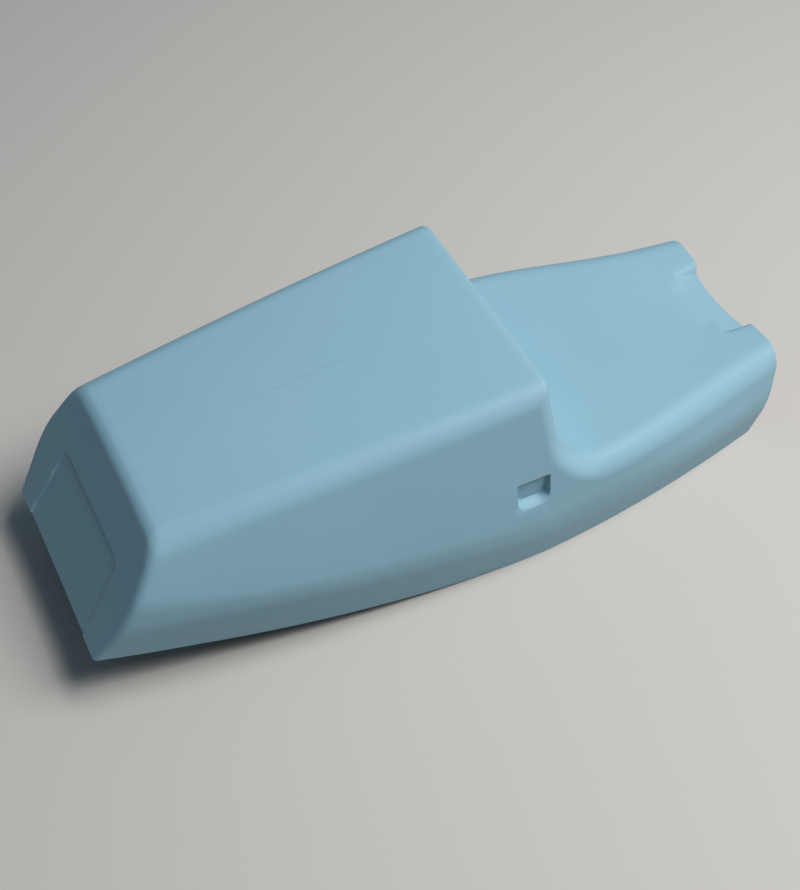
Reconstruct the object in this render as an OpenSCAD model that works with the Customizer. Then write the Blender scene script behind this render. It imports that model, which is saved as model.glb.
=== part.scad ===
// Tail fairing for a motorcycle: a one-piece moulded seat unit with a boxy hump,
// a low seat pan ahead of it, flared and tucked-under sides and an open underside.
// +X is forward, +Z is up, the part stands on its lower edge at z = 0. Millimetres.

/* [Overall] */
// Length over everything
length = 720; // [700:1:740]
// Half width at the widest line
half_w = 152; // [140:1:160]
// Laminate thickness
wall = 3; // [2:0.5:5]
// Height of the rear lower edge
tail_lift = 60; // [50:1:70]
// Where the lower edge comes down to the floor, from the rear
trim_run = 400; // [340:1:440]

/* [Rear panel] */
// Slope of the rear panel from level, degrees
panel_deg = 58.3; // [52:0.1:64]
// Depth of the plate recess
recess_d = 1.2; // [0.6:0.1:2]
// Height of the top edge of the recess
recess_top = 134; // [125:1:140]
// Half width of the recess at its lower end
recess_low = 76; // [72:1:80]
// Half width of the recess at its top end
recess_high = 70; // [66:1:74]

/* [Hump] */
// Height of the hump top at the rear panel
top_z0 = 180; // [175:1:185]
// Height of the hump top halfway
top_z1 = 200.5; // [195:0.5:205]
// Height of the hump top at its front
top_z2 = 217; // [210:1:222]
// Half width of the hump top at the rear panel
top_w0 = 101; // [95:1:105]
// Half width of the hump top halfway
top_w1 = 114; // [108:1:118]
// Half width of the hump top at its front
top_w2 = 124; // [118:1:128]
// Rise of the hump top from its edges to the middle
crown = 2; // [0:0.5:5]
// Front face of the hump, from the rear
hump_x = 436.5; // [425:1:445]
// Backward lean of that face, degrees
hump_lean = 7.5; // [0:0.5:10]

/* [Sides] */
// Where the part is widest, from the rear
wide_x = 400; // [380:1:430]
// Narrowing of the widest line towards the tail
tail_in = 35; // [30:0.5:45]
// Narrowing of the widest line towards the nose
nose_in = 46; // [40:0.5:52]
// Height of the widest line at the tail
belt_z0 = 118; // [110:1:125]
// Height of the widest line from the hump front on
belt_z1 = 50; // [40:1:60]
// Inward slope below the widest line
tuck = 0.21; // [0.1:0.01:0.3]
// The same slope at the tail
tuck_tail = 0.18; // [0.05:0.01:0.25]
// Outward bow of the hump sides
side_bow = 2; // [0:0.5:5]
// Flare of the seat sides just ahead of the hump
seat_flare = 0.07; // [0:0.01:0.2]
// Flare of the seat sides near the nose
nose_flare = 0.22; // [0.1:0.01:0.3]

/* [Seat] */
// Height of the seat edges behind
seat_z0 = 106; // [98:1:108]
// Height of the seat edges at their lowest
seat_low = 102; // [96:1:106]
// Height of the seat edges at the nose
seat_z1 = 117; // [112:1:120]
// Depth of the dish across the seat
dish = 7; // [4:0.5:12]
// Forward lean of the nose edge
nose_lean = 0.15; // [0.05:0.01:0.25]
// Hollow of the nose edge, seen from above
notch = 6; // [2:0.5:10]
// Half width between the two nose steps
step_y = 50; // [46:1:54]
// Height of the nose steps
step_d = 9; // [6:0.5:12]
// Length of the nose steps
step_l = 27; // [20:1:35]

/* [Side pockets] */
// Rear end of a pocket
pocket_x0 = 398; // [390:1:402]
// Front end of a pocket
pocket_x1 = 432; // [428:1:436]
// Lower end of a pocket
pocket_z0 = 80; // [74:1:86]
// Upper end of a pocket
pocket_z1 = 122; // [116:1:128]
// Distance of the pocket floor from the middle
pocket_y = 134.5; // [132:0.5:138]
// Corner radius at the lower end of a pocket
pocket_r = 13; // [6:1:16]

/* [Rounding] */
// Hump top and seat edges
r_top = 16; // [10:1:22]
// Edges of the rear panel
r_panel = 9; // [5:1:14]
// Front edge of the hump top
r_front = 8; // [4:1:14]
// Widest line
r_belt = 6; // [3:1:12]
// Widest line at the tail
r_belt_tail = 14; // [6:1:20]
// Fold between hump and seat
r_fold = 45; // [35:1:55]

/* [Hidden] */
gel = [0.53, 0.66, 0.72];
// half width of the sloping edge strip of a recess or a pocket
lip = 0.5;
// depth of the ray origins under the skin, and of the points the rays turn about
hub_d = 34;
turn_d = 45;
panel_x = (top_z0 - tail_lift) / tan(panel_deg);
nose_z = seat_z1 - 3.6;

// Smooth helpers
function lerp(a, b, t) = a + (b - a) * t;
function lim(t) = min(max(t, 0), 1);
function ease(t) = let (u = lim(t)) u * u * (3 - 2 * u);
function bow(a, b, c, t) = a + t * (4 * b - 3 * a - c) + t * t * (2 * a - 4 * b + 2 * c);
function both(a, b, r) = min(-r, max(a, b)) + norm([max(r + a, 0), max(r + b, 0)]);
function either(a, b, r) = max(r, min(a, b)) - norm([max(r - a, 0), max(r - b, 0)]);
function dir(a) = [-sin(a), cos(a)];

// Guide lines along the part
function belt_w(x) = x < wide_x ? half_w - tail_in * pow(1 - x / wide_x, 2)
    : half_w - nose_in * pow((x - wide_x) / (length - wide_x), 1.8);
function belt_z(x) = lerp(belt_z0, belt_z1, lim(x / hump_x));
function trim_z(x) = tail_lift * pow(lim(1 - x / trim_run), 1.5);
function hump_t(x) = min(max((x - panel_x) / (hump_x - panel_x), -0.3), 1);
function top_z(x) = bow(top_z0, top_z1, top_z2, hump_t(x));
function top_w(x) = bow(top_w0, top_w1, top_w2, hump_t(x));
function seat_z(x) = lerp(seat_z0, seat_low, lim((x - hump_x) / 180))
    + (seat_z1 - seat_low) * pow(lim((x - hump_x) / (length - hump_x)), 6);
function nose_x(z) = length + nose_lean * (z - nose_z);

// Signed distance to each face, negative inside; g is how far inside the skin it is read
function f_side(x, y, z) =
    let (w = belt_w(x), h = belt_z(x),
         k = ease((x - hump_x + 10) / 90), dn = lerp(tuck_tail, tuck, lim(x / 90)),
         seat_up = lerp(seat_flare, nose_flare, ease((x - 500) / 150)) - 0.07 * lim((x - 670) / 50),
         up = lerp((w - top_w(x)) / (top_z(x) - h), seat_up, k), t = lim((z - h) / (top_z(x) - h)),
         bulge = side_bow * 4 * t * (1 - t) * (1 - k))
    both((y - w - bulge + up * (z - h)) / norm([1, up]), (y - w - dn * (z - h)) / norm([1, dn]),
         lerp(r_belt_tail, r_belt, lim(x / 150)));
function f_hump(x, y, z) =
    let (w = top_w(x), ln = tan(hump_lean))
    both(z - top_z(x) - crown * (1 - y * y / w / w), (x - hump_x + (z - top_z2) * ln) / norm([1, ln]), r_front);
function f_seat(x, y, z, g) =
    let (w = belt_w(x),
         run = lerp(24, 9, ease((y - g - 22) / 24)),
         low = ease((x - length + step_l) / run) * (1 - ease((y - g - step_y + 1.2) / 2.4)))
    z - seat_z(x) + dish * (1 - y * y / w / w) + step_d * low;
function f_panel(x, z) = (z - tail_lift) * cos(panel_deg) - x * sin(panel_deg);
function f_skin(x, y, z, g) =
    both(both(either(f_hump(x, y, z), f_seat(x, y, z, g), r_fold), f_side(x, y, z), r_top),
         f_panel(x, z), r_panel);

// Where a ray from p along d leaves the skin read g inside it; level rays follow the lower edge
function at(p, d, t, level) = let (q = p + t * d) level ? [q[0], q[1], trim_z(q[0])] : q;
function f_at(q, g) = f_skin(q[0], q[1], q[2], g);
function leave(p, d, g, drop, level, a, b, n) =
    n == 0 ? at(p, d, (a + b) / 2, level)
    : let (m = (a + b) / 2)
      f_at(at(p, d, m, level), g) + g + drop > 0 ? leave(p, d, g, drop, level, a, m, n - 1)
      : leave(p, d, g, drop, level, m, b, n - 1);
function hit(p, d, g, drop, level) = leave(p, d, g, drop, level, 0, 110, 15);

// Stations from the rear edge over the hump and the seat to the nose edge. Each one is
// [origin x, origin z, ray angle from up towards the rear, y of the paired columns,
//  y where the corner fan starts, x at pocket height, x on the lower edge, in recess, in pocket]
pocket_mid = (recess_top - tail_lift) / (top_z0 - tail_lift);
function on_panel(t, g, in) =
    let (a = panel_deg + (90 - panel_deg) * pow(1 - lim(t / 0.25), 2),
         u = t, p = [panel_x * u, lerp(tail_lift, top_z0, u)] - hub_d * dir(a))
    [p[0], p[1], a, lerp(recess_low, recess_high, t / pocket_mid), 86 - 12 * pow(t, 2),
     lerp(p[0], 46 + 84 * t, 0.5), 46 + 84 * t, in, 0];
turn_r = turn_d - hub_d;
a_rear = atan((top_z(panel_x + 1) - top_z(panel_x)));
a_front = atan((top_z(hump_x) - top_z(hump_x - 1)));
// turning point under the rear edge of the hump top
rear_k = tan(a_rear);
rear_c = top_z0 - rear_k * panel_x - turn_d / cos(a_rear);
g_rear_x = (turn_d + (rear_c - tail_lift) * cos(panel_deg)) / (sin(panel_deg) - rear_k * cos(panel_deg));
g_rear = [g_rear_x, rear_c + rear_k * g_rear_x];
// origins under the front edge of the hump top, and centre of the fold
a_wall = hump_lean - 90;
front_0 = [hump_x - 43, top_z2 - hub_d];
front_1 = [hump_x - 6.5, top_z2 - hub_d - 5];
edge_c = [hump_x - r_front, top_z2 - r_front];
g_fold = [hump_x + (top_z2 - seat_z0 - r_fold) * tan(hump_lean) + r_fold + 1, seat_z0 - dish / 2 + r_fold];
seat_hub = g_fold[1] - r_fold - hub_d;
function fold_p(t, a) = g_fold - (r_fold + 10 + (hub_d - 10) * t * t) * dir(a);
function aim(p, q) = -atan2(q[0] - p[0], q[1] - p[1]);
rear_1 = g_rear + turn_r * dir(a_rear);
px0 = pocket_x0;
px1 = pocket_x1;

function stations(g) =
    let (e = lip)
    concat(
        // rear panel with the recess
        [for (t = [0, 0.05, 0.2, 0.35, 0.44, 0.53]) on_panel(t, g, 1)],
        [on_panel(pocket_mid - e / 140 + g / 140, g, 1), on_panel(pocket_mid + e / 140 + g / 140, g, 0),
         on_panel(0.7, g, 0), on_panel(0.79, g, 0)],
        // edge between rear panel and hump top
        [for (i = [0:5]) let (t = [0, 0.3, 0.42, 0.54, 0.68, 1][i], a = lerp(panel_deg, a_rear, t),
                              p = g_rear + turn_r * dir(a), xt = lerp(124, 158, i / 5))
            [p[0], p[1], a, lerp(67, 65, t), lerp(74, 74, t), lerp(p[0], xt, 0.5), xt, 0, 0]],
        // hump top
        [for (i = [1:8]) let (t = i / 9, p = lerp(rear_1, front_0, t), xt = lerp(158, 384, t))
            [p[0], p[1], lerp(a_rear, a_front, t), lerp(65, 60, t), lerp(74, 99, t),
             lerp(p[0], xt, lerp(0.5, 0.9, t)), xt, 0, 0]],
        // front edge of the hump top; the pockets lie below it
        [for (i = [0:5]) let (t = i / 5, p = lerp(front_0, front_1, t),
                              q = edge_c + r_front * dir(-[0, 8, 30, 50, 70, 95][i]))
            [p[0], p[1], i == 0 ? a_front : aim(p, q), 60, lerp(99, 114, t),
             [px0 - e - g, px0 + e - g, lerp(px0, px1, 0.36), lerp(px0, px1, 0.7), px1 - e + g, px1 + e + g][i],
             [390, 398, 409, 420, 430, 436][i], 0, i > 0 && i < 5 ? 2 : 1]],
        // front face of the hump
        [for (i = [1:2]) let (p = lerp(front_1, fold_p(0, a_wall), i / 3 + 0.03),
                              z = lerp(top_z2, g_fold[1], [0, 0.35, 0.75][i]))
            [p[0], p[1], aim(p, [hump_x + (top_z2 - z) * tan(hump_lean), z]), 60, 115 + 3 * i,
             px1 + 1 + 1.5 * i + g, 436 + 5 * i, 0, 1]],
        // fold
        [for (i = [0:7]) let (t = i / 7, a = lerp(a_wall, 0, t), p = fold_p(t, a))
            [p[0], p[1], a, lerp(60, 58, t), lerp(124, 112, t * t), lerp(440, 496, pow(t, 1.5)) + g * (1 - t), lerp(451, 501, t),
             0, 0]],
        // seat
        [for (i = [1:12]) let (x = [515, 545, 575, 605, 632, 655, 674, 690, 696, 702, 708, nose_x(seat_hub)][i - 1],
                              s = lim((x - 501) / 213), z0 = seat_hub,
                               xt = lerp(501, nose_x(0), s))
            [x, z0, lerp(0, -atan(nose_lean), ease((x - 600) / (length - 606))),
             lerp(58, step_y, lim(s * 1.3)), belt_w(x) - 33 - 2 * s, i == 12 ? -1 : lerp(x, xt, 0.15), xt, 0, 0]]);

// Points of one station from the middle out and down the side
across = [0, 0.28, 0.55, 0.8];
fan = [22, 34, 45, 56, 68];
rows_pocket = [0.25, 0.5, 0.69, 0.86];
function pocket_zx(s, f, g) =
    // the lower end of a pocket is rounded by drawing the station lines in
    let (mx = (px0 + px1) / 2, hw = (px1 - px0) / 2 + g, h = pocket_z1 - pocket_z0 + 2 * g, r = pocket_r + g,
         c = max((f * h - h + r) / r, 0), w = (hw - r + r * sqrt(max(1 - c * c, 0))) / hw)
    mx + (s[5] - mx) * w;
function half_row(s, i, g) =
    let (level = i == 0, last = s[5] < 0, in = s[7], pit = s[8],
         h = [s[0], s[1]], n = dir(s[2]),
         gap = lerp(lip, 1.25, lim((s[0] - 600) / 80)), yd = s[3] + g,
         z_low = level ? 0 : trim_z(s[6]),
         zb = min(belt_z(s[6]), h[1] - 6), near = pit > 0,
         z1 = near ? pocket_z1 + g : zb + (h[1] - zb) * 0.56,
         z2 = near ? pocket_z0 - g : zb + (h[1] - zb) * 0.2,
         el = min(lip, (z1 - z2) * 0.08),
         hollow = 1 - lim(abs(length - s[0]) / 60),
         across_y = concat([for (f = across) f * (yd - gap)], [yd - gap, yd + gap, lerp(yd + gap, s[4] + g / 2, 0.5),
                           s[4] + g / 2]),
         ext = [for (j = [0:len(across_y) - 1]) let (y = across_y[j],
                    back = notch * hollow * max(1 - y * y / step_y / step_y, 0))
                hit([h[0] - back, y, h[1]], [n[0], 0, n[1]], g, in == 1 && j < 5 ? recess_d : 0, level)],
         yc = s[4] + g / 2,
         turn = [for (a = fan) hit([h[0], yc, h[1]], [n[0] * cos(a), sin(a), n[1] * cos(a)], g, 0, level)],
         // height and station x of every point down the side
         down = concat([[h[1], 0], [(h[1] + z1 + el) / 2, 0.5], [z1 + el, 1], [z1 - el, 1]],
                       [for (f = rows_pocket) [lerp(z1, z2, f), 1]],
                       [[z2 + el, 1], [z2 - el, 1], [lerp(z2, zb, 0.6), 1.3], [zb, 1.6], [lerp(zb, z_low, 0.22), 1.8],
                        [lerp(zb, z_low, 0.6), 1.9], [z_low, 2]]),
         side = [for (k = [0:len(down) - 1]) let (z = down[k][0], u = down[k][1],
                    f = (z1 - z) / (z1 - z2),
                    px = near && k > 2 && k < 10 ? pocket_zx(s, lim(f), g) : s[5],
                    x = level ? lerp(h[0], s[6], k / (len(down) - 1)) : last ? nose_x(z)
                        : u <= 1 ? lerp(h[0], px, u) : lerp(near ? pocket_zx(s, 1, g) : s[5], s[6], u - 1),
                    q = hit([x, 50, level ? trim_z(x) : z], [0, 1, 0], g, 0, level))
                pit == 2 && k > 2 && k < 9 ? [q[0], min(q[1], pocket_y - g), q[2]] : q])
    concat(ext, turn, side);

// One skin as a grid of points, from the right side over the middle to the left side
function mirror_row(r) = concat([for (k = [len(r) - 1:-1:1]) [r[k][0], -r[k][1], r[k][2]]], r);
function skin(g) = let (st = stations(g)) [for (i = [0:len(st) - 1]) mirror_row(half_row(st[i], i, g))];

module tail_shell() {
    outer = skin(0);
    inner = skin(wall);
    ns = len(outer);
    nc = len(outer[0]);
    n = ns * nc;
    pts = [for (s = [outer, inner]) for (r = s) for (p = r) [p[0] - length / 2, p[1], p[2]]];
    // shorter diagonal of each cell, so the folds stay true
    cells = [for (i = [0:ns - 2]) for (j = [0:nc - 2]) [i * nc + j, i * nc + j + 1, (i + 1) * nc + j + 1, (i + 1) * nc + j]];
    function cut(q, o) = norm(pts[q[0] + o] - pts[q[2] + o]) < norm(pts[q[1] + o] - pts[q[3] + o]);
    out_faces = [for (q = cells) each cut(q, 0) ? [[q[0], q[1], q[2]], [q[0], q[2], q[3]]]
                                                : [[q[0], q[1], q[3]], [q[1], q[2], q[3]]]];
    in_faces = [for (q = cells) each cut(q, n) ? [[q[0] + n, q[2] + n, q[1] + n], [q[0] + n, q[3] + n, q[2] + n]]
                                               : [[q[0] + n, q[3] + n, q[1] + n], [q[1] + n, q[3] + n, q[2] + n]]];
    // the cut edge all round joins the two skins
    loop = concat([for (j = [0:nc - 2]) j], [for (i = [0:ns - 2]) i * nc + nc - 1],
                  [for (j = [nc - 1:-1:1]) (ns - 1) * nc + j], [for (i = [ns - 1:-1:1]) i * nc]);
    m = len(loop);
    rim = [for (k = [0:m - 1]) let (a = loop[k], b = loop[(k + 1) % m])
           each [[a, b + n, b], [a, a + n, b + n]]];
    color(gel) polyhedron(points = pts, faces = concat(out_faces, in_faces, rim), convexity = 6);
}

tail_shell();
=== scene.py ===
"""The looks of the tail fairing: its shell at full smoothness, its gel coat, floor, light and camera.

The shell is computed by the same steps as the part's source, with more points and a few finer forms.
Lengths are millimetres from the rear edge and the floor until to_frame() turns them into the row frame.
"""
import math
from collections import namedtuple

import bpy
import numpy as np
from mathutils import Matrix, Vector


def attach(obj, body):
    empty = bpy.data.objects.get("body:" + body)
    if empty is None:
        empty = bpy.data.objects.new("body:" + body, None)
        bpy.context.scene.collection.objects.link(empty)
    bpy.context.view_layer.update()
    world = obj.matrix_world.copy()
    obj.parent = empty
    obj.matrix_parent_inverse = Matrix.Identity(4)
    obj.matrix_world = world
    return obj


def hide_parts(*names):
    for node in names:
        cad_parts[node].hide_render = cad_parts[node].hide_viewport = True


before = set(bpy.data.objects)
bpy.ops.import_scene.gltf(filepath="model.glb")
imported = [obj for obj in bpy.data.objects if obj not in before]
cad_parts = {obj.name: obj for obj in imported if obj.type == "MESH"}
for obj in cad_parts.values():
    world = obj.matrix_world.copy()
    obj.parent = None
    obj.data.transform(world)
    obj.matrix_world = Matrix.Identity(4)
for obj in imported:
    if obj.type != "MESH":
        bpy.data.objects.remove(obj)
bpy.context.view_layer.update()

# Overall sizes; the half width is a hair under the source's, to stay inside its box
LENGTH = 720.0
HALF_W = 151.94
WALL = 3.0
TAIL_LIFT = 60.0
TRIM_RUN = 400.0

# Rear panel and its plate recess
PANEL_DEG = 58.3
RECESS_D = 1.2
RECESS_TOP = 134.0
RECESS_LOW = 76.0
RECESS_HIGH = 70.0
RECESS_R = 7.0
RECESS_SIDE = 0.45  # how steep the recess's side walls are, beside its upper wall

# Hump: heights and half widths of its top at the rear panel, halfway and at the front
TOP_Z = (180.0, 200.5, 217.0)
TOP_W = (101.0, 114.0, 124.0)
CROWN = 1.85
HUMP_X = 436.5
HUMP_LEAN = 7.5

# Sides: the widest line, the slopes under and over it, and where they change
WIDE_X = 400.0
TAIL_IN = 35.0
NOSE_IN = 46.0
BELT_Z = (118.0, 50.0)
TUCK = 0.21
TUCK_TAIL = 0.18
TUCK_RUN = 90.0
SIDE_BOW = 2.0
SIDE_LEAD = 10.0  # how far behind the hump's front its sides start to turn into the seat's
SIDE_RUN = 90.0
SEAT_FLARE = 0.07
NOSE_FLARE = 0.22
FLARE_X = 500.0
FLARE_RUN = 150.0
NOSE_LESS = 0.07  # how much of the flare the last stretch before the nose loses
NOSE_RUN = 50.0

# Seat: heights of its edges behind, at the lowest and at the nose, and its dish
SEAT_Z0 = 109.0
SEAT_LOW = 106.0
SEAT_Z1 = 110.5
SEAT_RUN = 180.0
DISH = 7.0

# Nose: its edge is LENGTH from the rear at NOSE_Z, and hollow by NOTCH in the middle
NOSE_LEAN = 0.15
NOSE_Z = 109.8
NOTCH = 5.5
NOTCH_RUN = 60.0
MIDDLE_L = 52.0  # how far behind the nose its middle starts to sink
MIDDLE_RUN = 54.0

# Nose steps: half width between them, height, length, and how wide their ends and walls are
STEP_Y = 50.0
STEP_D = 9.0
STEP_L = 31.0
STEP_END = 7.0
STEP_FROM = 22.0  # from here out the floor behind a step stays up, fully so after STEP_OUT more
STEP_OUT = 20.0
STEP_WALL = 11.0
STEP_WALL_IN = 7.0  # how far inside STEP_Y the wall starts

# Side pockets: a steep wall all round but for the sloping ledge at the lower end
POCKET_X = (398.0, 432.0)
POCKET_Z = (89.0, 122.0)
POCKET_Y = 137.2
POCKET_R = 12.0
POCKET_TOP_R = 2.0
LEDGE_SLOPE = 1.3
POCKET_SLOPE = 10.0
LEDGE_H = 3.0
LEDGE_RUN = 14.0
POCKET_SOFT = 0.9
POCKET_MARGIN = 2.0

# Edge radii
R_TOP = 16.0
R_SEAT = 22.0
R_SEAT_RUN = 60.0
R_PANEL = 6.5
R_TAIL = 3.0  # of the rear panel's lower corners
R_TAIL_DROP = 5.0
R_TAIL_RUN = 50.0
R_FRONT = 5.5
R_BELT = 6.0
R_BELT_TAIL = 14.0
R_BELT_RUN = 150.0
R_FOLD = 45.0

# Grid: half width of an edge strip, depth of the ray origins and of the rear turn under the skin
LIP = 0.5
STEP_GAP = 4.5
HUB_D = 34.0
TURN_D = 45.0
RAY_LENGTH = 110.0
HALVINGS = 24
SHARP_DEG = 50


def lerp(a, b, t):
    return a + (b - a) * t


def lim(t):
    return np.clip(t, 0.0, 1.0)


def ease(t):
    u = lim(t)
    return u * u * (3 - 2 * u)


def bow(p, t):
    """The curve through three evenly spaced values."""
    a, b, c = p
    return a + t * (4 * b - 3 * a - c) + t * t * (2 * a - 4 * b + 2 * c)


def both(a, b, r):
    """Inside both faces, with their edge rounded."""
    return np.minimum(-r, np.maximum(a, b)) + np.hypot(np.maximum(r + a, 0), np.maximum(r + b, 0))


def either(a, b, r):
    """Inside one face or the other, with their fold rounded."""
    return np.maximum(r, np.minimum(a, b)) - np.hypot(np.maximum(r - a, 0), np.maximum(r - b, 0))


def smooth_max(a, b, r):
    h = lim(0.5 + 0.5 * (b - a) / r)
    return lerp(a, b, h) + r * h * (1 - h)


def smooth_min(a, b, r):
    h = lim(0.5 + 0.5 * (a - b) / r)
    return lerp(a, b, h) - r * h * (1 - h)


def from_corner(a, b, r):
    """Distance from a corner of radius r, where a and b are the distances from its edges plus r."""
    return np.hypot(np.maximum(a, 0), np.maximum(b, 0)) + np.minimum(np.maximum(a, b), 0) - r


def way(deg):
    """(x, z) of a direction that leans back from up by deg."""
    a = np.radians(deg)
    return np.array([-np.sin(a), np.cos(a)])


def aim(p, q):
    """The lean of the way from p to q."""
    return -math.degrees(math.atan2(q[0] - p[0], q[1] - p[1]))


# Guide lines along the part
PANEL_X = (TOP_Z[0] - TAIL_LIFT) / math.tan(math.radians(PANEL_DEG))


def belt_w(x):
    tail = HALF_W - TAIL_IN * np.maximum(1 - x / WIDE_X, 0) ** 2
    return tail - NOSE_IN * np.maximum((x - WIDE_X) / (LENGTH - WIDE_X), 0) ** 1.8


def belt_z(x):
    return lerp(BELT_Z[0], BELT_Z[1], lim(x / HUMP_X))


def trim_z(x):
    return TAIL_LIFT * lim(1 - x / TRIM_RUN) ** 1.5


def hump_t(x):
    return np.clip((x - PANEL_X) / (HUMP_X - PANEL_X), -0.3, 1)


def top_z(x):
    return bow(TOP_Z, hump_t(x))


def top_w(x):
    return bow(TOP_W, hump_t(x))


def seat_z(x):
    s = lim((x - HUMP_X) / (LENGTH - HUMP_X))
    return lerp(SEAT_Z0, SEAT_LOW, lim((x - HUMP_X) / SEAT_RUN)) + (SEAT_Z1 - SEAT_LOW) * s**6


def nose_x(z):
    return LENGTH + NOSE_LEAN * (z - NOSE_Z)


# Faces: signed distances, negative inside; g is how far under the skin they are read
def side_face(x, y, z):
    w, h = belt_w(x), belt_z(x)
    k = ease((x - HUMP_X + SIDE_LEAD) / SIDE_RUN)
    down = lerp(TUCK_TAIL, TUCK, lim(x / TUCK_RUN))
    flare = lerp(SEAT_FLARE, NOSE_FLARE, ease((x - FLARE_X) / FLARE_RUN))
    flare = flare - NOSE_LESS * lim((x - LENGTH + NOSE_RUN) / NOSE_RUN)
    up = lerp((w - top_w(x)) / (top_z(x) - h), flare, k)
    t = lim((z - h) / (top_z(x) - h))
    bulge = SIDE_BOW * 4 * t * (1 - t) * (1 - k)
    upper = (y - w - bulge + up * (z - h)) / np.hypot(1, up)
    lower = (y - w - down * (z - h)) / np.hypot(1, down)
    return both(upper, lower, lerp(R_BELT_TAIL, R_BELT, lim(x / R_BELT_RUN)))


def hump_face(x, y, z):
    lean = math.tan(math.radians(HUMP_LEAN))
    top = z - top_z(x) - CROWN * (1 - (y / top_w(x)) ** 2)
    return both(top, (x - HUMP_X + (z - TOP_Z[2]) * lean) / math.hypot(1, lean), R_FRONT)


def seat_face(x, y, z, g):
    """The dished seat; its nose sinks between the steps, slowly in the middle and sharply beside them."""
    middle = STEP_D * ease((x - LENGTH + MIDDLE_L) / MIDDLE_RUN)
    behind = ease((y - g - STEP_FROM) / STEP_OUT) * (1 - ease((x - LENGTH + STEP_L) / STEP_END))
    wall = (1 - lim((y - g - STEP_Y + STEP_WALL_IN) / STEP_WALL)) ** 2.5
    return z - seat_z(x) + DISH * (1 - (y / belt_w(x)) ** 2) + middle * (1 - behind) * wall


def recess(y, z, g):
    """Depth of the plate recess of the rear panel; it runs out over the lower edge."""
    side = y - g - lerp(RECESS_LOW, RECESS_HIGH, (z - TAIL_LIFT) / (RECESS_TOP - TAIL_LIFT))
    above_top = (z - g - RECESS_TOP) / math.sin(math.radians(PANEL_DEG))
    edge = from_corner(side * RECESS_SIDE + RECESS_R, above_top + RECESS_R, RECESS_R)
    return RECESS_D * (1 - ease(edge + LIP))


def panel_face(x, y, z, g):
    a = math.radians(PANEL_DEG)
    return (z - TAIL_LIFT) * math.cos(a) - x * math.sin(a) + recess(y, z, g)


def skin(x, y, z, g):
    upper = either(hump_face(x, y, z), seat_face(x, y, z, g), R_FOLD)
    edge = lerp(R_TOP, R_SEAT, ease((x - HUMP_X) / R_SEAT_RUN))
    rear = lerp(R_TAIL, R_PANEL, ease((z - TAIL_LIFT + R_TAIL_DROP) / R_TAIL_RUN))
    return both(both(upper, side_face(x, y, z), edge), panel_face(x, y, z, g), rear)


def pocket(x, y, z, g):
    """Draws the side in to the pocket's flat floor, with soft edges; its lower corners are rounded."""
    (x0, x1), (z0, z1) = POCKET_X, POCKET_Z
    mid_x, mid_z = (x0 + x1) / 2, (z0 + z1) / 2
    half_x, half_z = (x1 - x0) / 2 + g, (z1 - z0) / 2 + g
    r = np.where(z < mid_z, POCKET_R + g, POCKET_TOP_R)
    edge = from_corner(np.abs(x - mid_x) - half_x + r, np.abs(z - mid_z) - half_z + r, r)
    steep = lerp(LEDGE_SLOPE, POCKET_SLOPE, ease((z - z0 - LEDGE_H) / LEDGE_RUN))
    deep = smooth_max(POCKET_Y - g, y + steep * edge, POCKET_SOFT)
    return np.where(edge < POCKET_MARGIN, smooth_min(y, deep, POCKET_SOFT), y)


# Origins and leans that the stations are laid out from
SEAT_HUB = SEAT_Z0 - DISH / 2 - HUB_D
A_WALL = HUMP_LEAN - 90
A_REAR = math.degrees(math.atan(float(top_z(PANEL_X + 1) - top_z(PANEL_X))))
A_FRONT = math.degrees(math.atan(float(top_z(HUMP_X) - top_z(HUMP_X - 1))))
RECESS_T = (RECESS_TOP - TAIL_LIFT) / (TOP_Z[0] - TAIL_LIFT)
FRONT_BACK = (43, 6.5)  # how far behind the hump's front face the rays of its front edge start and end
FRONT_DROP = 5
FRONT_0 = np.array([HUMP_X - FRONT_BACK[0], TOP_Z[2] - HUB_D])
FRONT_1 = np.array([HUMP_X - FRONT_BACK[1], TOP_Z[2] - HUB_D - FRONT_DROP])
EDGE_C = np.array([HUMP_X - R_FRONT, TOP_Z[2] - R_FRONT])
WALL_TAN = math.tan(math.radians(HUMP_LEAN))
FOLD_X = HUMP_X + (TOP_Z[2] - SEAT_Z0 - R_FOLD) * WALL_TAN + R_FOLD + 1
FOLD_C = np.array([FOLD_X, SEAT_Z0 - DISH / 2 + R_FOLD])
FOLD_D = 10  # depth of the ray origins under the skin at the upper end of the fold

# x on the lower edge of the first and last station of each stretch, and of all round the hump's front
TRIM_PANEL = (46, 130)
TRIM_TURN = (124, 158)
TRIM_TOP = (158, 384)
TRIM_FRONT = (390, 398, 409, 420, 430, 436)
TRIM_FOLD = (451, 501)
SIDE_FOLD = (440, 496)  # the same at the height of the pockets

# y of the paired columns, which stand on the recess's sides and the nose steps
PAIR_REAR = 67
PAIR_TOP = 65
PAIR_FRONT = 60
PAIR_SEAT = 58

# y where the fan of rays round the upper corner starts
CORNER_LOW = 86
CORNER_REAR = 74
CORNER_TOP = 99
CORNER_FRONT = 114
CORNER_FOLD = 124
CORNER_SEAT = 112
SEAT_CORNER_IN = 33  # the same along the seat, in from the widest line

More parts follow.
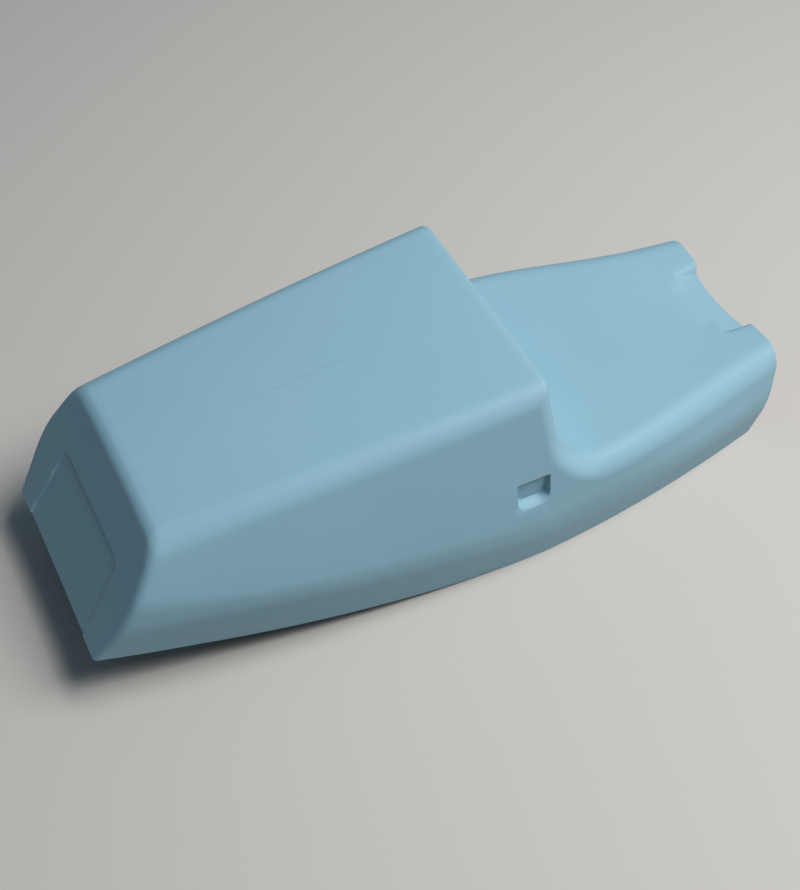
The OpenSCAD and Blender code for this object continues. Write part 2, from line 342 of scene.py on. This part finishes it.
# Where stations and rays stand: shares of a stretch, degrees, or lengths
PANEL_BELOW = (0, 0.05, 0.2, 0.35, 0.44, 0.53)
PANEL_ABOVE = (0.7, 0.79)
PANEL_SLANT = 140  # length of the rear panel up its slope
PANEL_LEVEL = 0.25  # over this share the rays turn from level to straight out of the panel
TURN_AT = (0, 0.3, 0.42, 0.54, 0.68, 1)
FRONT_TURN = (0, 8, 30, 50, 70, 95)
FACE_DOWN = (0.35, 0.75)
SEAT_XS = (515, 545, 575, 605, 632, 655, 674, 690, 696, 702, 708)
SEAT_LONG = 213
NOSE_FROM = 600  # ahead of it the rays start to lean and the paired columns to spread, for the nose
ACROSS = (0, 0.28, 0.55, 0.8)
FAN = (22, 34, 45, 56, 68)
SPREAD_RUN = 80
POCKET_COLUMNS = (0.36, 0.7)
POCKET_ROWS = (0.16, 0.3, 0.45, 0.58, 0.68, 0.74, 0.79, 0.83, 0.87, 0.9)
POCKET_EDGE = (0.5, 1.6)  # how far outside and inside its edge a pocket's wall lies
SIDE_ROWS = (0.56, 0.2)  # where the pocket's rows run on beside the pockets
SIDE_FIRST = 13  # the first column whose rays run straight out sideways
SIDE_ORIGIN_Y = 50

# A station's ray origin and lean, y of its paired columns and its corner, x at the pocket's height and
# on the lower edge, and whether it stands beside a pocket
Station = namedtuple("Station", "x z lean pair_y corner_y side_x trim_x by_pocket")


def rear_turn():
    """The point under the rear edge of the hump top that the rays turn about."""
    a, k = math.radians(PANEL_DEG), math.tan(math.radians(A_REAR))
    c = TOP_Z[0] - k * PANEL_X - TURN_D * math.hypot(1, k)
    x = (TURN_D + (c - TAIL_LIFT) * math.cos(a)) / (math.sin(a) - k * math.cos(a))
    return np.array([x, c + k * x])


def turn_hub(lean):
    return rear_turn() + (TURN_D - HUB_D) * way(lean)


def fold_hub(t, lean):
    return FOLD_C - (R_FOLD + FOLD_D + (HUB_D - FOLD_D) * t * t) * way(lean)


def panel_station(t):
    lean = PANEL_DEG + (90 - PANEL_DEG) * (1 - min(t / PANEL_LEVEL, 1)) ** 2
    x, z = np.array([PANEL_X * t, lerp(TAIL_LIFT, TOP_Z[0], t)]) - HUB_D * way(lean)
    pair_y = lerp(RECESS_LOW, RECESS_HIGH, t / RECESS_T)
    corner_y = lerp(CORNER_LOW, CORNER_REAR, t * t)
    trim_x = lerp(*TRIM_PANEL, t)
    return Station(x, z, lean, pair_y, corner_y, lerp(x, trim_x, 0.5), trim_x, False)


def panel_stations(g):
    at_recess = (RECESS_T + (g - LIP) / PANEL_SLANT, RECESS_T + (g + LIP) / PANEL_SLANT)
    return [panel_station(t) for t in (*PANEL_BELOW, *at_recess, *PANEL_ABOVE)]


def turn_stations():
    """Round the edge between the rear panel and the hump top."""
    rows = []
    for i, t in enumerate(TURN_AT):
        lean = lerp(PANEL_DEG, A_REAR, t)
        x, z = turn_hub(lean)
        trim_x = lerp(*TRIM_TURN, i / 5)
        side_x = lerp(x, trim_x, 0.5)
        pair_y = lerp(PAIR_REAR, PAIR_TOP, t)
        rows.append(Station(x, z, lean, pair_y, CORNER_REAR, side_x, trim_x, False))
    return rows


def top_stations():
    """Along the hump top."""
    rear, rows = turn_hub(A_REAR), []
    for i in range(1, 9):
        t = i / 9
        x, z = lerp(rear, FRONT_0, t)
        lean = lerp(A_REAR, A_FRONT, t)
        pair_y, corner_y = lerp(PAIR_TOP, PAIR_FRONT, t), lerp(CORNER_REAR, CORNER_TOP, t)
        trim_x = lerp(*TRIM_TOP, t)
        side_x = lerp(x, trim_x, lerp(0.5, 0.9, t))
        rows.append(Station(x, z, lean, pair_y, corner_y, side_x, trim_x, False))
    return rows


def front_stations(g):
    """Round the front edge of the hump top; the pockets lie below it."""
    (x0, x1), (out, into), rows = POCKET_X, POCKET_EDGE, []
    inside = [lerp(x0, x1, f) for f in POCKET_COLUMNS]
    side_xs = (x0 - out - g, x0 + into - g, *inside, x1 - into + g, x1 + out + g)
    for i, turned in enumerate(FRONT_TURN):
        hub = lerp(FRONT_0, FRONT_1, i / 5)
        lean = A_FRONT if i == 0 else aim(hub, EDGE_C + R_FRONT * way(-turned))
        corner_y = lerp(CORNER_TOP, CORNER_FRONT, i / 5)
        rows.append(Station(*hub, lean, PAIR_FRONT, corner_y, side_xs[i], TRIM_FRONT[i], True))
    return rows


def face_stations(g):
    """Down the front face of the hump."""
    rows = []
    for i, down in enumerate(FACE_DOWN, 1):
        hub = lerp(FRONT_1, fold_hub(0, A_WALL), i / 3 + 0.03)
        z = lerp(TOP_Z[2], FOLD_C[1], down)
        lean = aim(hub, [HUMP_X + (TOP_Z[2] - z) * WALL_TAN, z])
        side_x, trim_x = POCKET_X[1] + 1 + 1.5 * i + g, TRIM_FRONT[-1] + 5 * i
        corner_y = CORNER_FRONT + 1 + 3 * i
        rows.append(Station(*hub, lean, PAIR_FRONT, corner_y, side_x, trim_x, True))
    return rows


def fold_stations(g):
    rows = []
    for i in range(8):
        t = i / 7
        lean = lerp(A_WALL, 0, t)
        pair_y, corner_y = lerp(PAIR_FRONT, PAIR_SEAT, t), lerp(CORNER_FOLD, CORNER_SEAT, t * t)
        side_x = lerp(*SIDE_FOLD, t**1.5) + g * (1 - t)
        trim_x = lerp(*TRIM_FOLD, t)
        rows.append(Station(*fold_hub(t, lean), lean, pair_y, corner_y, side_x, trim_x, False))
    return rows


def seat_stations():
    """Along the seat to the nose edge, which the last one stands on."""
    nose_lean, rows = -math.degrees(math.atan(NOSE_LEAN)), []
    for x in (*SEAT_XS, float(nose_x(SEAT_HUB))):
        s = min((x - TRIM_FOLD[1]) / SEAT_LONG, 1)
        lean = nose_lean * float(ease((x - NOSE_FROM) / (LENGTH - NOSE_FROM - 6)))
        pair_y = lerp(PAIR_SEAT, STEP_Y, min(s * 1.3, 1))
        corner_y = float(belt_w(x)) - SEAT_CORNER_IN - 2 * s
        trim_x = lerp(TRIM_FOLD[1], float(nose_x(0)), s)
        side_x = lerp(x, trim_x, 0.15)
        rows.append(Station(x, SEAT_HUB, lean, pair_y, corner_y, side_x, trim_x, False))
    return rows


def stations(g):
    """From the rear edge over the hump and the seat to the nose, as in the source."""
    rows = panel_stations(g) + turn_stations() + top_stations()
    return rows + front_stations(g) + face_stations(g) + fold_stations(g) + seat_stations()


def upward_rays(s, g):
    """A station's rays from the middle out to the corner, and the fan round it."""
    up_x, up_z = way(s.lean)
    gap = lerp(LIP, STEP_GAP, float(lim((s.x - NOSE_FROM) / SPREAD_RUN)))
    pair_y = s.pair_y + g - (gap - LIP)
    corner_y = s.corner_y + g / 2
    ys = [f * (pair_y - gap) for f in ACROSS]
    ys += [pair_y - gap, pair_y + gap, (pair_y + gap + corner_y) / 2, corner_y]
    hollow = NOTCH * (1 - float(lim(abs(LENGTH - s.x) / NOTCH_RUN)))
    starts = [[s.x - hollow * max(1 - (y / STEP_Y) ** 2, 0), y, s.z] for y in ys]
    ways = [[up_x, 0, up_z]] * len(ys)
    for f in FAN:
        c = math.cos(math.radians(f))
        starts.append([s.x, corner_y, s.z])
        ways.append([up_x * c, math.sin(math.radians(f)), up_z * c])
    return starts, ways


def pocket_x(x, f, g):
    """Draws a station in towards the pocket's middle, where the pocket's lower end is rounded."""
    mid_x, half_x = sum(POCKET_X) / 2, (POCKET_X[1] - POCKET_X[0]) / 2 + g
    h, r = POCKET_Z[1] - POCKET_Z[0] + 2 * g, POCKET_R + g
    c = max((min(f, 1) * h - h + r) / r, 0)
    return mid_x + (x - mid_x) * (half_x - r + r * math.sqrt(max(1 - c * c, 0))) / half_x


def side_rays(s, g, first, last):
    """A station's rays straight out sideways, from the height of its origin down to the lower edge."""
    z_low = 0.0 if first else float(trim_z(s.trim_x))
    belt = min(float(belt_z(s.trim_x)), s.z - 6)
    if s.by_pocket:
        high, low = POCKET_Z[1] + g, POCKET_Z[0] - g
        out, into = POCKET_EDGE
    else:
        high, low = (belt + (s.z - belt) * f for f in SIDE_ROWS)
        out = into = min(LIP, (high - low) * 0.04)
    # height, and how far x has come: 0 at the origin, 1 at the pocket's height, 2 on the lower edge
    down = [(s.z, 0), ((s.z + high + out) / 2, 0.5), (high + out, 1), (high - into, 1)]
    down += [(lerp(high, low, f), 1) for f in POCKET_ROWS]
    down += [(low + into, 1), (low - out, 1), (lerp(low, belt, 0.6), 1.3), (belt, 1.6)]
    down += [(lerp(belt, z_low, 0.22), 1.8), (lerp(belt, z_low, 0.6), 1.9), (z_low, 2)]
    starts = []
    for k, (z, u) in enumerate(down):
        side_x = s.side_x
        if s.by_pocket and high > z:
            side_x = pocket_x(side_x, (high - z) / (high - low), g)
        x = lerp(s.x, side_x, u) if u <= 1 else lerp(side_x, s.trim_x, u - 1)
        if last:
            x = float(nose_x(z))
        if first:
            x = lerp(s.x, s.trim_x, k / (len(down) - 1))
            z = float(trim_z(x))
        starts.append([x, s.corner_y + g / 2 if k == 0 else SIDE_ORIGIN_Y, z])
    return starts, [[0, 1, 0]] * len(starts)


def rays(g):
    """Origins and directions of every station's rays, from the middle out and down the left side."""
    origins, ways = [], []
    table = stations(g)
    for s in table:
        up_starts, up_ways = upward_rays(s, g)
        side_starts, side_ways = side_rays(s, g, s is table[0], s is table[-1])
        origins.append(up_starts + side_starts)
        ways.append(up_ways + side_ways)
    return np.array(origins, float), np.array(ways, float)


def refine(a, cuts, axis):
    """Puts cuts[i] - 1 rows in the gap after row i."""
    a = np.moveaxis(a, axis, 0)
    out = []
    for i, n in enumerate(cuts):
        out += [lerp(a[i], a[i + 1], k / n) for k in range(n)]
    out.append(a[-1])
    return np.moveaxis(np.array(out), 0, axis)


STATION_CUTS = (
    [2, 4, 4, 3, 3, 6, 3, 3, 3]  # rear panel
    + [2, 2, 3, 3, 3, 2]  # its upper edge
    + [5] * 8 + [4]  # hump top
    + [7, 7, 7, 7, 7]  # its front edge, over the pockets
    + [3, 3, 2] + [3] * 7  # front face and fold
    + [3, 5, 5, 5, 5, 4, 4, 4, 3, 3, 3, 3]  # seat and nose
)
COLUMN_CUTS = (
    [4, 4, 4, 6, 7, 3, 3]  # across to the corner
    + [4, 3, 3, 3, 3, 4]  # round it
    + [4, 4, 7]  # down to the pocket
    + [2, 2, 2, 2, 2, 1, 1, 1, 1, 1, 1, 7]  # over its height
    + [3, 3, 3, 4, 4]  # down to the edge
)


def half_skin(g):
    """The left half of a skin as a grid of points: where each ray leaves the skin read at g."""
    o, d = rays(g)
    for axis, cuts in ((0, STATION_CUTS), (1, COLUMN_CUTS)):
        o, d = refine(o, cuts, axis), refine(d, cuts, axis)
    d /= np.linalg.norm(d, axis=-1, keepdims=True)
    level = np.zeros(o.shape[:2], bool)
    level[0] = True

    def at(t):
        q = o + d * t[..., None]
        q[..., 2] = np.where(level, trim_z(q[..., 0]), q[..., 2])
        return q

    lo, hi = np.zeros(o.shape[:2]), np.full(o.shape[:2], RAY_LENGTH)
    for _ in range(HALVINGS):
        mid = (lo + hi) / 2
        q = at(mid)
        out = skin(q[..., 0], q[..., 1], q[..., 2], g) + g > 0
        lo, hi = np.where(out, lo, mid), np.where(out, mid, hi)
    q = at((lo + hi) / 2)
    side = q[:, sum(COLUMN_CUTS[:SIDE_FIRST]):]
    side[..., 1] = pocket(side[..., 0], side[..., 1], side[..., 2], g)
    return q


def full_skin(g):
    left = half_skin(g)
    right = left[:, :0:-1] * np.array([1, -1, 1])
    return np.concatenate([right, left], axis=1)


def to_frame(points):
    return (points - np.array([LENGTH / 2, 0, 0])) / 1000


def skin_cells(ns, nc):
    """The faces of one skin of ns stations with nc columns."""
    i, j = np.meshgrid(np.arange(ns - 1), np.arange(nc - 1), indexing="ij")
    a = (i * nc + j).ravel()
    return np.stack([a, a + nc, a + nc + 1, a + 1], axis=1)


def rim_faces(ns, nc):
    """The faces of the cut edge, which join the two skins all round."""
    n = ns * nc
    loop = list(range(nc - 1)) + [r * nc + nc - 1 for r in range(ns - 1)]
    loop += [(ns - 1) * nc + c for c in range(nc - 1, 0, -1)] + [r * nc for r in range(ns - 1, 0, -1)]
    return np.array([[p, q, q + n, p + n] for p, q in zip(loop, loop[1:] + loop[:1])])


def build_shell():
    outer, inner = full_skin(0), full_skin(WALL)
    ns, nc = outer.shape[:2]
    points = to_frame(np.concatenate([outer.reshape(-1, 3), inner.reshape(-1, 3)]))
    cells = skin_cells(ns, nc)
    faces = np.concatenate([cells, cells[:, ::-1] + ns * nc, rim_faces(ns, nc)])
    mesh = bpy.data.meshes.new("tail_shell_skin")
    mesh.from_pydata(points.tolist(), [], faces.tolist())
    mesh.validate()
    obj = bpy.data.objects.new("tail_shell_skin", mesh)
    bpy.context.scene.collection.objects.link(obj)
    mesh.materials.append(gel_coat())
    mesh.materials.append(laminate())
    index = np.zeros(len(mesh.polygons), np.int32)
    index[len(cells):] = 1
    mesh.polygons.foreach_set("material_index", index)
    mesh.shade_smooth()
    mesh.set_sharp_from_angle(angle=math.radians(SHARP_DEG))
    return obj


# Materials
GEL_TONES = ((0.227, 0.389, 0.466), (0.240, 0.407, 0.485))
GEL_DULL = (0.44, 0.56)
GEL_SPECULAR = 0.17
# Lighter tone of the spots at the recess's edge: painted highlight along the edge line, together with
# rubbed wear
HIGHLIGHT_AND_RUBBED_TONE = (0.55, 0.68, 0.72)
MOULD_LINE = (0.14, 0.26, 0.33)
LAMINATE_TONES = ((0.25, 0.33, 0.33), (0.42, 0.50, 0.48))
HIGHLIGHT_AND_SCUFF_SPOTS = (  # centre and half sizes of the lighter spots at the recess's edge: painted highlight along its edge line and lower corners, with rubbed wear specks in it
    ((-331, 72.6, 107), (12, 2.2, 14)),
    ((-356, 77, 66), (8, 4, 9)),
    ((-354, -75, 69), (7, 3, 8)),
)
STREAK = ((-112, -2, 202), (135, 1.5, 60))  # the mould's middle line, faint along the hump top


def nodes_of(name, base, roughness):
    """A material, its node tree and its shader, set to one colour and one roughness to start with."""
    mat = bpy.data.materials.new(name)
    mat.use_nodes = True
    tree = mat.node_tree
    shader = tree.nodes["Principled BSDF"]
    shader.inputs["Base Color"].default_value = (*base, 1)
    shader.inputs["Roughness"].default_value = roughness
    return mat, tree, shader


def noise(tree, coords, scale, detail=3.0, rough=0.5):
    node = tree.nodes.new("ShaderNodeTexNoise")
    node.inputs["Scale"].default_value = scale
    node.inputs["Detail"].default_value = detail
    node.inputs["Roughness"].default_value = rough
    tree.links.new(coords, node.inputs["Vector"])
    return node.outputs["Fac"]


def vector_maths(tree, operation, vector, by=None):
    """A vector node; by is in millimetres in the row frame."""
    node = tree.nodes.new("ShaderNodeVectorMath")
    node.operation = operation
    tree.links.new(vector, node.inputs[0])
    if by:
        node.inputs[1].default_value = [v / 1000 for v in by]
    return node


def from_range(tree, value, start, end, to=(0.0, 1.0)):
    """Carries start to end over to the range to, and holds its ends beyond."""
    node = tree.nodes.new("ShaderNodeMapRange")
    node.inputs["From Min"].default_value = start
    node.inputs["From Max"].default_value = end
    node.inputs["To Min"].default_value = to[0]
    node.inputs["To Max"].default_value = to[1]
    tree.links.new(value, node.inputs["Value"])
    return node.outputs["Result"]


def ellipse(tree, coords, centre, size):
    """1 round a point on the part, falling to 0 at the half sizes; millimetres in the row frame."""
    off = vector_maths(tree, "SUBTRACT", coords, centre)
    scaled = vector_maths(tree, "DIVIDE", off.outputs["Vector"], size)
    far = vector_maths(tree, "LENGTH", scaled.outputs["Vector"])
    return from_range(tree, far.outputs["Value"], 1, 0.2)


def blend(tree, base, color, mask, amount):
    """Mixes a colour over base where mask times amount says."""
    share = tree.nodes.new("ShaderNodeMath")
    share.operation = "MULTIPLY"
    share.inputs[1].default_value = amount
    tree.links.new(mask, share.inputs[0])
    mix = tree.nodes.new("ShaderNodeMix")
    mix.data_type = "RGBA"
    tree.links.new(share.outputs[0], mix.inputs["Factor"])
    tree.links.new(base, mix.inputs["A"])
    mix.inputs["B"].default_value = (*color, 1)
    return mix.outputs["Result"]


def both_masks(tree, a, b):
    node = tree.nodes.new("ShaderNodeMath")
    node.operation = "MULTIPLY"
    tree.links.new(a, node.inputs[0])
    tree.links.new(b, node.inputs[1])
    return node.outputs[0]


def tones(tree, value, ends, colors):
    """Two tones that value runs between."""
    node = tree.nodes.new("ShaderNodeValToRGB")
    for element, position, color in zip(node.color_ramp.elements, ends, colors):
        element.position = position
        element.color = (*color, 1)
    tree.links.new(value, node.inputs["Fac"])
    return node.outputs["Color"]


def add_bump(tree, shader, height, strength, distance):
    node = tree.nodes.new("ShaderNodeBump")
    node.inputs["Strength"].default_value = strength
    node.inputs["Distance"].default_value = distance
    tree.links.new(height, node.inputs["Height"])
    tree.links.new(node.outputs["Normal"], shader.inputs["Normal"])


def gel_coat():
    """Satin grey-blue gel coat: slow drifts of tone, fine skin, lighter spots at the recess's edge that
    are partly painted highlight and partly rubbed wear, and a faint mould line.
    """
    mat, tree, shader = nodes_of("gel_coat", (0.27, 0.45, 0.55), 0.5)
    shader.inputs["Specular IOR Level"].default_value = GEL_SPECULAR
    coords = tree.nodes.new("ShaderNodeTexCoord").outputs["Object"]
    color = tones(tree, noise(tree, coords, 6.0, detail=4.0), (0.3, 0.7), GEL_TONES)
    specks = from_range(tree, noise(tree, coords, 520.0, rough=0.6), 0.46, 0.58)
    # Lighter speckled spots at the recess's edge: painted highlight where its edge line catches light,
    # together with rubbed wear
    for centre, size in HIGHLIGHT_AND_SCUFF_SPOTS:
        highlight_and_rubbed = both_masks(tree, ellipse(tree, coords, centre, size), specks)
        color = blend(tree, color, HIGHLIGHT_AND_RUBBED_TONE, highlight_and_rubbed, 0.9)
    color = blend(tree, color, MOULD_LINE, ellipse(tree, coords, *STREAK), 0.2)
    tree.links.new(color, shader.inputs["Base Color"])
    dull = from_range(tree, noise(tree, coords, 14.0, detail=5.0, rough=0.6), 0.2, 0.8, to=GEL_DULL)
    tree.links.new(dull, shader.inputs["Roughness"])
    add_bump(tree, shader, noise(tree, coords, 700.0, detail=2.0), strength=0.12, distance=0.0006)
    return mat


def laminate():
    """Bare glass laminate of the inside and the cut edge: dull, greenish, with the strands showing."""
    mat, tree, shader = nodes_of("laminate", (0.36, 0.42, 0.38), 0.6)
    coords = tree.nodes.new("ShaderNodeTexCoord").outputs["Object"]
    strands = noise(tree, coords, 160.0, detail=6.0, rough=0.7)
    color = tones(tree, strands, (0.35, 0.65), LAMINATE_TONES)
    tree.links.new(color, shader.inputs["Base Color"])
    add_bump(tree, shader, strands, strength=0.5, distance=0.0008)
    return mat


# The piece
shell = build_shell()
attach(shell, "root")
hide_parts("tail_shell")

# Floor, light and camera, in metres and watts; the camera stands as the photograph's did
FLOOR_HALF = 6.0
FLOOR_COLOR = (0.50, 0.47, 0.435)
KEY_AT = (1.17, -0.88, 2.56)
KEY_TO = (0, 0, 0.1)
KEY_SIZE = 1.45
KEY_POWER = 102
SKY_COLOR = (0.51, 0.77, 1.0)
SKY_STRENGTH = 0.185
CAMERA_AT = (-0.4312, -0.8534, 1.1752)
CAMERA_YAW = 0.45822
CAMERA_PITCH = 0.86619
FOCAL_PIXELS = 1500
PHOTO_PIXELS = 890  # along the photograph's longer side
SENSOR = 36


def add_floor():
    mesh = bpy.data.meshes.new("floor")
    s = FLOOR_HALF
    mesh.from_pydata([(-s, -s, 0), (s, -s, 0), (s, s, 0), (-s, s, 0)], [], [(0, 1, 2, 3)])
    floor = bpy.data.objects.new("floor", mesh)
    bpy.context.scene.collection.objects.link(floor)
    mat, _, shader = nodes_of("floor_pale", FLOOR_COLOR, 0.9)
    shader.inputs["Specular IOR Level"].default_value = 0.1
    mesh.materials.append(mat)


def add_key_light():
    light = bpy.data.lights.new("key", "AREA")
    light.size = KEY_SIZE
    light.energy = KEY_POWER
    obj = bpy.data.objects.new("key", light)
    bpy.context.scene.collection.objects.link(obj)
    obj.location = KEY_AT
    obj.rotation_euler = (Vector(KEY_TO) - Vector(KEY_AT)).to_track_quat("-Z", "Y").to_euler()


def add_world():
    world = bpy.data.worlds.new("studio")
    world.use_nodes = True
    back = world.node_tree.nodes["Background"]
    back.inputs["Color"].default_value = (*SKY_COLOR, 1)
    back.inputs["Strength"].default_value = SKY_STRENGTH
    bpy.context.scene.world = world


def add_camera():
    data = bpy.data.cameras.new("camera")
    data.sensor_width = SENSOR
    data.lens = FOCAL_PIXELS * SENSOR / PHOTO_PIXELS
    data.sensor_fit = "AUTO"
    data.clip_start = 0.05
    data.clip_end = 50
    camera = bpy.data.objects.new("camera", data)
    bpy.context.scene.collection.objects.link(camera)
    cp, sp = math.cos(CAMERA_PITCH), math.sin(CAMERA_PITCH)
    ahead = Vector((math.sin(CAMERA_YAW) * cp, math.cos(CAMERA_YAW) * cp, -sp))
    right = Vector((math.cos(CAMERA_YAW), -math.sin(CAMERA_YAW), 0))
    up = right.cross(ahead)
    turn = Matrix((right, up, -ahead)).transposed().to_4x4()
    camera.matrix_world = Matrix.Translation(CAMERA_AT) @ turn
    bpy.context.scene.camera = camera


add_floor()
add_key_light()
add_world()
add_camera()
bpy.context.scene.view_settings.view_transform = "Standard"
